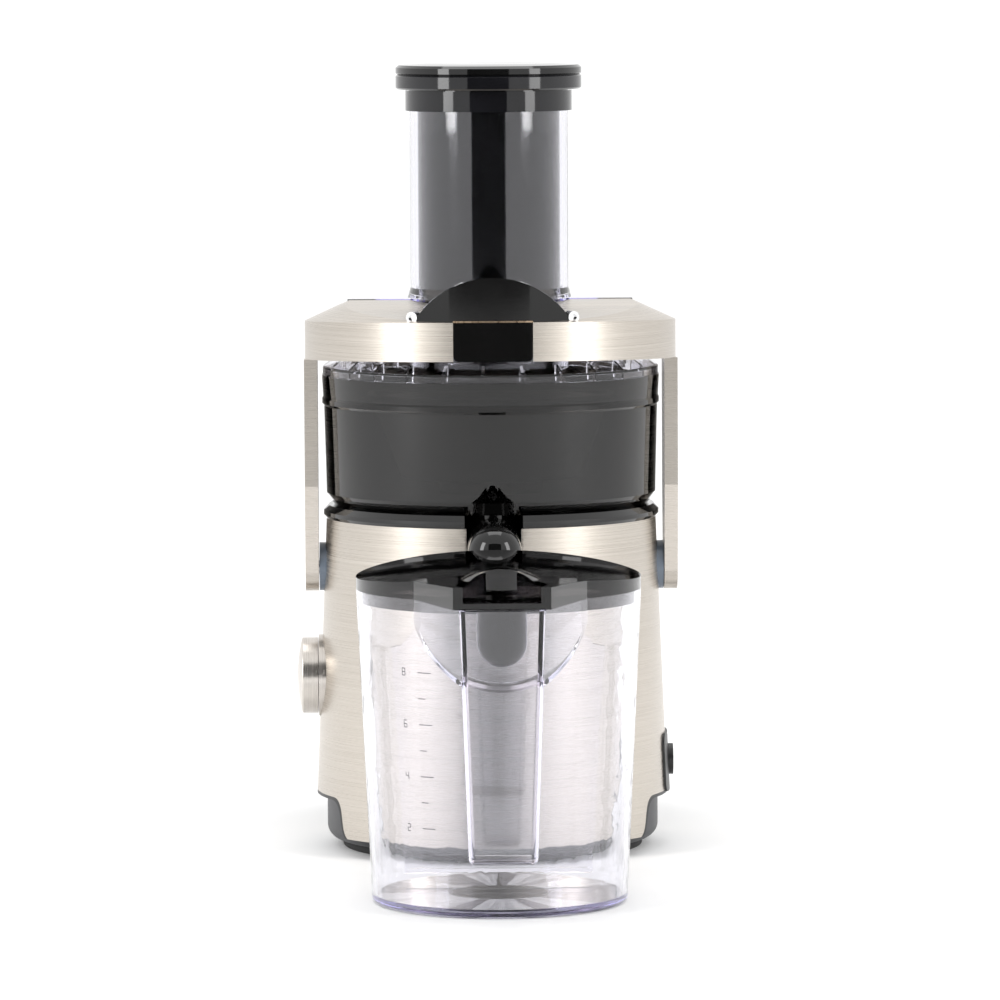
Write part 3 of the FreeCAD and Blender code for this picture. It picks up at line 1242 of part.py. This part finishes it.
def separator_outline(inset):
    """The separator's front view: a tapered plate with wings that rise to a neck."""
    foot = JUG_FLOOR + 4.0 + inset
    half = [
        (SEPARATOR_FOOT_HALF - inset, foot),
        (SEPARATOR_TOP_HALF - inset, SEPARATOR_TOP - inset),
        (SEPARATOR_TOP_HALF - 5.0 - inset, SEPARATOR_TOP + 1.0 - inset),
        (32.0 - inset, SEPARATOR_TOP + 17.8 - inset),
        (27.0 - inset, SEPARATOR_TOP + 19.0 - inset),
        (25.0 - inset, JUG_LID_BACK + 5.0),
    ]
    return half + [(-x, z) for x, z in half[::-1]]


def froth_separator():
    """The plate that hangs from the jug's lid and holds back the froth."""
    y = JUG_CENTRE + SEPARATOR_BACK
    plate = prism_along_y(separator_outline(0.0), y - SEPARATOR_WALL / 2, y + SEPARATOR_WALL / 2)
    border = prism_along_y(separator_outline(0.0), y - SEPARATOR_RIM / 2, y + SEPARATOR_RIM / 2)
    border = border.cut(prism_along_y(separator_outline(2.2), y - SEPARATOR_RIM, y + SEPARATOR_RIM))
    return plate.fuse(border).common(lid_cap(JUG_LID_WALL))


# ---------------------------------------------------------------- all parts

def main():
    os.makedirs("parts", exist_ok=True)
    arm = arm_plate()
    pin = pivot_pin()
    washer = pivot_disc()
    single = [
        body_shell, arch_trim, base_pan, base_screws, foot_ring, inner_frame, speed_switch,
        control_board, interlock_switch, cord_inlet, deck, notch_trim, motor_bolts, motor_stator,
        field_windings, motor_shaft, motor_rotor, commutator, carbon_brushes, brush_holders,
        motor_fan, shaft_seal, drive_coupling, basket_base, filter_basket, basket_rim, grater_disc,
        grater_hub, juice_bowl, juice_spout, lid, feed_chute, pusher_body, pusher_cap,
        pulp_container, arm_crossbar, grip_block, grip_trim, grip_ears, grip_dome, control_knob,
        knob_spindle, knob_bezel, jug_body, jug_handle, jug_lid, froth_separator,
    ]
    for make in single:
        save(make.__name__, make())
    save("lower_bracket", motor_bracket(BRACKET_LOW, BRACKET_LOW + 2.0))
    save("upper_bracket", motor_bracket(BRACKET_HIGH, BRACKET_HIGH + 2.0))
    save("lower_bearing", bearing(BRACKET_LOW + 2.0))
    save("upper_bearing", bearing(BRACKET_HIGH + 2.0))
    save("arm_right", arm)
    save("arm_left", mirrored_x(arm))
    save("pivot_pins", Part.makeCompound([pin, mirrored_x(pin)]))
    save("pivot_discs", Part.makeCompound([washer, mirrored_x(washer)]))


main()
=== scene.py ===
import json
import math

import bpy
from mathutils import Matrix, Vector


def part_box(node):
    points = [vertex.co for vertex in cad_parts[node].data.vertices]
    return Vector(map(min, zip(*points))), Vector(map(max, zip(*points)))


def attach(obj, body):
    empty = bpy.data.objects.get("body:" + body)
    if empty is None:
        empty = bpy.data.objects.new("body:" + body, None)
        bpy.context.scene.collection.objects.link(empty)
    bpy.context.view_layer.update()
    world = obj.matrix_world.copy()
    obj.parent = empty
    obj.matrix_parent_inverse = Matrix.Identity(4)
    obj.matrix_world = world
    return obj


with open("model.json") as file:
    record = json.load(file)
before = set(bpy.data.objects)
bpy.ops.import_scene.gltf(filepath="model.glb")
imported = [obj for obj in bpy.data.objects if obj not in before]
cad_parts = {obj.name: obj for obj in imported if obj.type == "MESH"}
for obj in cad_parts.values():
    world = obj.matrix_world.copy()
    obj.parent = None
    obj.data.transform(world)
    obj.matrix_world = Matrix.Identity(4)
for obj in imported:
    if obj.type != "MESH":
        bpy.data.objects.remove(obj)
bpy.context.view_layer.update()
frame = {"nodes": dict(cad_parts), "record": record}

NODES = frame["nodes"]

# ---------------------------------------------------------------- places from the frame

JUG_LOW, JUG_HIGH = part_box("jug_body")


# ---------------------------------------------------------------- material helpers

class Nodes:
    """A small wrapper that adds and links shader nodes of one material."""

    def __init__(self, name):
        self.material = bpy.data.materials.new(name)
        self.material.use_nodes = True
        self.tree = self.material.node_tree
        self.shader = self.tree.nodes["Principled BSDF"]
        self.output = self.tree.nodes["Material Output"]

    def add(self, kind, **values):
        node = self.tree.nodes.new(kind)
        for key, value in values.items():
            setattr(node, key, value)
        return node

    def link(self, source, target):
        self.tree.links.new(source, target)

    def set(self, **values):
        for key, value in values.items():
            socket = self.shader.inputs[key.replace("_", " ")]
            socket.default_value = (*value, 1.0) if isinstance(value, tuple) else value

    def position(self, scale):
        """Object coordinates, which are the row frame in metres, stretched by a scale."""
        coordinates = self.add("ShaderNodeTexCoord")
        mapping = self.add("ShaderNodeMapping")
        mapping.inputs["Scale"].default_value = scale
        self.link(coordinates.outputs["Object"], mapping.inputs["Vector"])
        return mapping.outputs["Vector"]

    def noise(self, scale, detail=4.0, roughness=0.55):
        node = self.add("ShaderNodeTexNoise")
        node.inputs["Scale"].default_value = 1.0
        node.inputs["Detail"].default_value = detail
        node.inputs["Roughness"].default_value = roughness
        self.link(self.position(scale), node.inputs["Vector"])
        return node.outputs["Fac"]

    def ramp(self, factor, low, high):
        """A factor spread over the range between two numbers."""
        node = self.add("ShaderNodeMapRange")
        node.inputs["From Min"].default_value = 0.3
        node.inputs["From Max"].default_value = 0.7
        node.inputs["To Min"].default_value = low
        node.inputs["To Max"].default_value = high
        self.link(factor, node.inputs["Value"])
        return node.outputs["Result"]

    def colours(self, factor, low, high):
        """A factor turned into a colour between two colours."""
        node = self.add("ShaderNodeMix", data_type="RGBA")
        node.inputs["A"].default_value = (*low, 1.0)
        node.inputs["B"].default_value = (*high, 1.0)
        self.link(self.ramp(factor, 0.0, 1.0), node.inputs["Factor"])
        return node.outputs["Result"]

    def bump(self, height, strength, distance):
        node = self.add("ShaderNodeBump")
        node.inputs["Strength"].default_value = strength
        node.inputs["Distance"].default_value = distance
        self.link(height, node.inputs["Height"])
        self.link(node.outputs["Normal"], self.shader.inputs["Normal"])


def brushed_metal(name, low, high, stretch, rough=(0.22, 0.36), strength=0.10):
    """Brushed metal: fine drawn lines in colour, roughness and bump, along one direction."""
    m = Nodes(name)
    m.set(Metallic=1.0, Anisotropic=0.5)
    lines = m.noise(stretch, detail=6.0, roughness=0.7)
    m.link(m.colours(lines, low, high), m.shader.inputs["Base Color"])
    m.link(m.ramp(lines, *rough), m.shader.inputs["Roughness"])
    m.bump(lines, strength, 0.00006)
    return m.material


def moulded(name, low, high, rough, grain, strength, coat=0.0):
    """Opaque moulded plastic or rubber: slight colour change, uneven gloss and a fine grain."""
    m = Nodes(name)
    m.set(IOR=1.5)
    m.shader.inputs["Coat Weight"].default_value = coat
    m.shader.inputs["Coat Roughness"].default_value = 0.04
    broad = m.noise((30.0, 30.0, 30.0), detail=3.0)
    fine = m.noise((grain, grain, grain), detail=2.0)
    m.link(m.colours(broad, low, high), m.shader.inputs["Base Color"])
    m.link(m.ramp(broad, *rough), m.shader.inputs["Roughness"])
    m.bump(fine, strength, 0.0001)
    return m.material


def clear_plastic(name, tint, edge, density, rough=(0.01, 0.035), strength=0.02):
    """See-through moulded plastic, whose colour deepens with the length of the light's path."""
    m = Nodes(name)
    m.set(IOR=1.5)
    m.shader.inputs["Transmission Weight"].default_value = 1.0
    m.shader.inputs["Base Color"].default_value = (*tint, 1.0)
    broad = m.noise((25.0, 25.0, 12.0), detail=2.0)
    m.link(m.ramp(broad, *rough), m.shader.inputs["Roughness"])
    m.bump(broad, strength, 0.0004)
    depth = m.add("ShaderNodeVolumeAbsorption")
    depth.inputs["Color"].default_value = (*edge, 1.0)
    depth.inputs["Density"].default_value = density
    m.link(depth.outputs["Volume"], m.output.inputs["Volume"])
    return m.material


MATERIALS = {
    "brushed_steel": brushed_metal("brushed_steel", (0.46, 0.42, 0.37), (0.62, 0.575, 0.52), (9.0, 9.0, 5200.0)),
    # Arm steel is the body's brushed steel with lighter colours: the extra lightness is a painted sheen on the arms.
    "arm_steel_painted_sheen": brushed_metal("arm_steel_painted_sheen", (0.48, 0.44, 0.39), (0.65, 0.605, 0.55), (9.0, 9.0, 4800.0)),
    "knob_steel": brushed_metal("knob_steel", (0.55, 0.51, 0.47), (0.74, 0.70, 0.65), (2200.0, 10.0, 10.0)),
    "bright_steel": brushed_metal("bright_steel", (0.70, 0.70, 0.71), (0.82, 0.82, 0.83), (60.0, 60.0, 60.0), (0.10, 0.2)),
    "basket_steel": brushed_metal("basket_steel", (0.42, 0.41, 0.40), (0.68, 0.67, 0.66), (900.0, 900.0, 900.0), (0.2, 0.5), 0.5),
    "core_steel": brushed_metal("core_steel", (0.20, 0.20, 0.21), (0.34, 0.34, 0.35), (8.0, 8.0, 2000.0), (0.35, 0.6), 0.4),
    "copper": brushed_metal("copper", (0.55, 0.25, 0.12), (0.80, 0.42, 0.22), (10.0, 10.0, 1800.0), (0.2, 0.4), 0.6),
    "bronze_line": brushed_metal("bronze_line", (0.42, 0.30, 0.20), (0.62, 0.47, 0.33), (900.0, 8.0, 8.0)),
    "gloss_black": moulded("gloss_black", (0.003, 0.003, 0.003), (0.005, 0.005, 0.005), (0.04, 0.08), 600.0, 0.01, 0.0),
    "smoke_pusher": moulded("smoke_pusher", (0.004, 0.004, 0.005), (0.008, 0.008, 0.010), (0.05, 0.10), 500.0, 0.01, 0.0),
    "matte_black": moulded("matte_black", (0.012, 0.012, 0.012), (0.022, 0.022, 0.022), (0.35, 0.5), 2500.0, 0.2),
    "foot_grey": moulded("foot_grey", (0.030, 0.031, 0.034), (0.048, 0.049, 0.053), (0.38, 0.52), 2200.0, 0.25),
    "rubber_black": moulded("rubber_black", (0.015, 0.015, 0.015), (0.025, 0.025, 0.025), (0.7, 0.85), 3000.0, 0.4),
    "blue_grey": moulded("blue_grey", (0.12, 0.15, 0.19), (0.17, 0.20, 0.25), (0.25, 0.38), 1500.0, 0.08),
    "carbon": moulded("carbon", (0.02, 0.02, 0.02), (0.035, 0.035, 0.035), (0.55, 0.7), 3000.0, 0.3),
    "board_green": moulded("board_green", (0.02, 0.10, 0.05), (0.03, 0.16, 0.08), (0.2, 0.35), 900.0, 0.1),
    "white_nylon": moulded("white_nylon", (0.66, 0.66, 0.64), (0.74, 0.74, 0.72), (0.4, 0.55), 1800.0, 0.12),
    "clear_plastic": clear_plastic("clear_plastic", (0.975, 0.975, 0.995), (0.66, 0.62, 0.98), 13.0),
    "smoke_bowl": clear_plastic("smoke_bowl", (0.11, 0.10, 0.095), (0.32, 0.28, 0.24), 420.0),
    "smoke_lid": clear_plastic("smoke_lid", (0.10, 0.095, 0.10), (0.24, 0.22, 0.24), 420.0),
}
OWN_MATERIAL = {
    # The arms get the lighter copy of the brushed steel, whose extra lightness is a painted sheen.
    "arm_left": "arm_steel_painted_sheen",
    "arm_right": "arm_steel_painted_sheen",
    "control_knob": "knob_steel",
    "knob_bezel": "knob_steel",
}


def dress_frame():
    """Give every CAD node its material by its slot, or its own one."""
    for part in frame["record"]["subparts"]:
        node = NODES[part["node"]]
        name = OWN_MATERIAL.get(part["node"], part["material_slot"])
        node.data.materials.clear()
        node.data.materials.append(MATERIALS[name])


# ---------------------------------------------------------------- mesh helpers

def piece(name, mesh, material, body):
    made = bpy.data.objects.new(name, mesh)
    bpy.context.scene.collection.objects.link(made)
    mesh.materials.append(MATERIALS[material])
    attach(made, body)
    return made


# ---------------------------------------------------------------- marks on the jug

def stroke_ink():
    m = Nodes("mark_ink")
    shade = m.noise((900.0, 900.0, 900.0), detail=2.0)
    m.link(m.colours(shade, (0.05, 0.05, 0.055), (0.12, 0.12, 0.13)), m.shader.inputs["Base Color"])
    m.link(m.ramp(shade, 0.35, 0.55), m.shader.inputs["Roughness"])
    return m.material


MATERIALS["mark_ink"] = stroke_ink()
MARK_PROUD = 0.0002
MARK_LOW = JUG_LOW.z + 0.030
MARK_STEP = 0.0125
MARK_ROWS = 8
MARK_TURN = math.radians(-36.0)
DIGIT_STROKES = {
    "0": ((0, 0, 1, 0), (1, 0, 1, 2), (1, 2, 0, 2), (0, 2, 0, 0)),
    "1": ((0.5, 0, 0.5, 2),),
    "2": ((0, 2, 1, 2), (1, 2, 1, 1), (1, 1, 0, 1), (0, 1, 0, 0), (0, 0, 1, 0)),
    "3": ((0, 2, 1, 2), (1, 2, 1, 0), (1, 0, 0, 0), (0, 1, 1, 1)),
    "4": ((0, 2, 0, 1), (0, 1, 1, 1), (1, 2, 1, 0)),
    "6": ((1, 2, 0, 2), (0, 2, 0, 0), (0, 0, 1, 0), (1, 0, 1, 1), (1, 1, 0, 1)),
    "8": ((0, 0, 1, 0), (1, 0, 1, 2), (1, 2, 0, 2), (0, 2, 0, 0), (0, 1, 1, 1)),
}


def jug_surface(turn, z):
    """A place on the jug's outer wall, at a turn from straight ahead and a height."""
    share = (z - JUG_LOW.z) / (JUG_HIGH.z - JUG_LOW.z)
    half_x = (JUG_HIGH.x - JUG_LOW.x) / 2 - 0.007 * (1.0 - share) + MARK_PROUD
    half_y = (JUG_HIGH.y - JUG_LOW.y) / 2 - 0.0055 * (1.0 - share) + MARK_PROUD
    middle = (JUG_LOW + JUG_HIGH) / 2
    return (middle.x + math.sin(turn) * half_x, middle.y - math.cos(turn) * half_y, z)


def add_stroke(verts, faces, turn0, z0, turn1, z1, thick=0.0004):
    """One stroke as a narrow strip that follows the jug's wall."""
    run = Vector(((turn1 - turn0) * 0.07, z1 - z0))
    side = Vector((-run.y, run.x)).normalized() * thick / 2
    steps = 6
    start = len(verts)
    for i in range(steps + 1):
        f = i / steps
        turn, z = turn0 + (turn1 - turn0) * f, z0 + (z1 - z0) * f
        verts.append(jug_surface(turn - side.x / 0.07, z - side.y))
        verts.append(jug_surface(turn + side.x / 0.07, z + side.y))
    faces.extend((start + 2 * i, start + 2 * i + 1, start + 2 * i + 3, start + 2 * i + 2) for i in range(steps))


def add_jug_marks():
    """Plain level ticks with generic numerals on the jug's left side."""
    verts, faces = [], []
    for row in range(MARK_ROWS):
        z = MARK_LOW + MARK_STEP * row
        long_tick = row % 2 == 1
        add_stroke(verts, faces, MARK_TURN, z, MARK_TURN + (0.11 if long_tick else 0.06), z)
        if long_tick:
            turn = MARK_TURN - 0.14
            for x0, y0, x1, y1 in DIGIT_STROKES[str(row + 1)]:
                add_stroke(verts, faces, turn + x0 * 0.026, z + (y0 - 1) * 0.0017, turn + x1 * 0.026, z + (y1 - 1) * 0.0017)
    mesh = bpy.data.meshes.new("jug_marks")
    mesh.from_pydata(verts, [], faces)
    piece("jug_marks", mesh, "mark_ink", "jug")


# ---------------------------------------------------------------- stage

CAMERA_DISTANCE = 3.605
CAMERA_HEIGHT = 0.475
CAMERA_SIDE = math.radians(-0.9)
LOOK_AT = Vector((0.0046, 0.0, 0.1772))
CAMERA_ROLL = math.radians(-0.3)


def add_camera():
    data = bpy.data.cameras.new("camera")
    data.lens = 253.5
    camera = bpy.data.objects.new("camera", data)
    bpy.context.scene.collection.objects.link(camera)
    camera.location = (
        math.sin(CAMERA_SIDE) * CAMERA_DISTANCE,
        -math.cos(CAMERA_SIDE) * CAMERA_DISTANCE,
        CAMERA_HEIGHT,
    )
    aim = (LOOK_AT - camera.location).to_track_quat("-Z", "Y").to_matrix().to_4x4()
    roll = aim @ Matrix.Rotation(CAMERA_ROLL, 4, "Z")
    camera.rotation_euler = roll.to_euler()
    bpy.context.scene.camera = camera


def add_panel(name, width, height, place, aim_at, material):
    mesh = bpy.data.meshes.new(name)
    x, y = width / 2, height / 2
    mesh.from_pydata([(-x, -y, 0), (x, -y, 0), (x, y, 0), (-x, y, 0)], [], [(0, 1, 2, 3)])
    panel = bpy.data.objects.new(name, mesh)
    bpy.context.scene.collection.objects.link(panel)
    panel.location = place
    if aim_at is not None:
        panel.rotation_euler = (Vector(aim_at) - Vector(place)).to_track_quat("-Z", "Y").to_euler()
    mesh.materials.append(material)
    return panel


def add_light(name, place, size, power, aim_at):
    data = bpy.data.lights.new(name, "AREA")
    data.shape = "RECTANGLE"
    data.size, data.size_y = size
    data.energy = power
    light = bpy.data.objects.new(name, data)
    bpy.context.scene.collection.objects.link(light)
    light.location = place
    light.rotation_euler = (Vector(aim_at) - Vector(place)).to_track_quat("-Z", "Y").to_euler()
    return light


def plain(name, colour, rough):
    m = Nodes(name)
    m.set(Roughness=rough)
    m.shader.inputs["Base Color"].default_value = (*colour, 1.0)
    return m.material


def add_stage():
    bpy.context.scene.view_settings.view_transform = "Standard"
    world = bpy.data.worlds.new("studio")
    world.use_nodes = True
    background = world.node_tree.nodes["Background"]
    background.inputs["Color"].default_value = (1.0, 1.0, 1.0, 1.0)
    background.inputs["Strength"].default_value = 1.12
    bpy.context.scene.world = world
    add_panel("floor", 24.0, 24.0, (0, 0, 0), None, plain("floor_white", (0.93, 0.93, 0.93), 0.75))
    flag = add_panel("dark_flag", 4.6, 4.0, (-0.1, -4.4, 1.6), (0, 0, 0.3), plain("flag_black", (0.01, 0.01, 0.01), 0.9))
    flag.visible_camera = False
    flag.visible_diffuse = False
    flag.visible_shadow = False
    add_light("softbox_left", (-2.6, -1.6, 1.3), (0.9, 2.2), 42.0, (0, 0, 0.2))
    add_light("softbox_right", (2.6, -1.6, 1.3), (0.9, 2.2), 36.0, (0, 0, 0.2))
    add_light("softbox_top", (0.0, 0.4, 2.6), (1.8, 1.4), 18.0, (0, 0, 0.2))


dress_frame()
add_jug_marks()
add_camera()
add_stage()
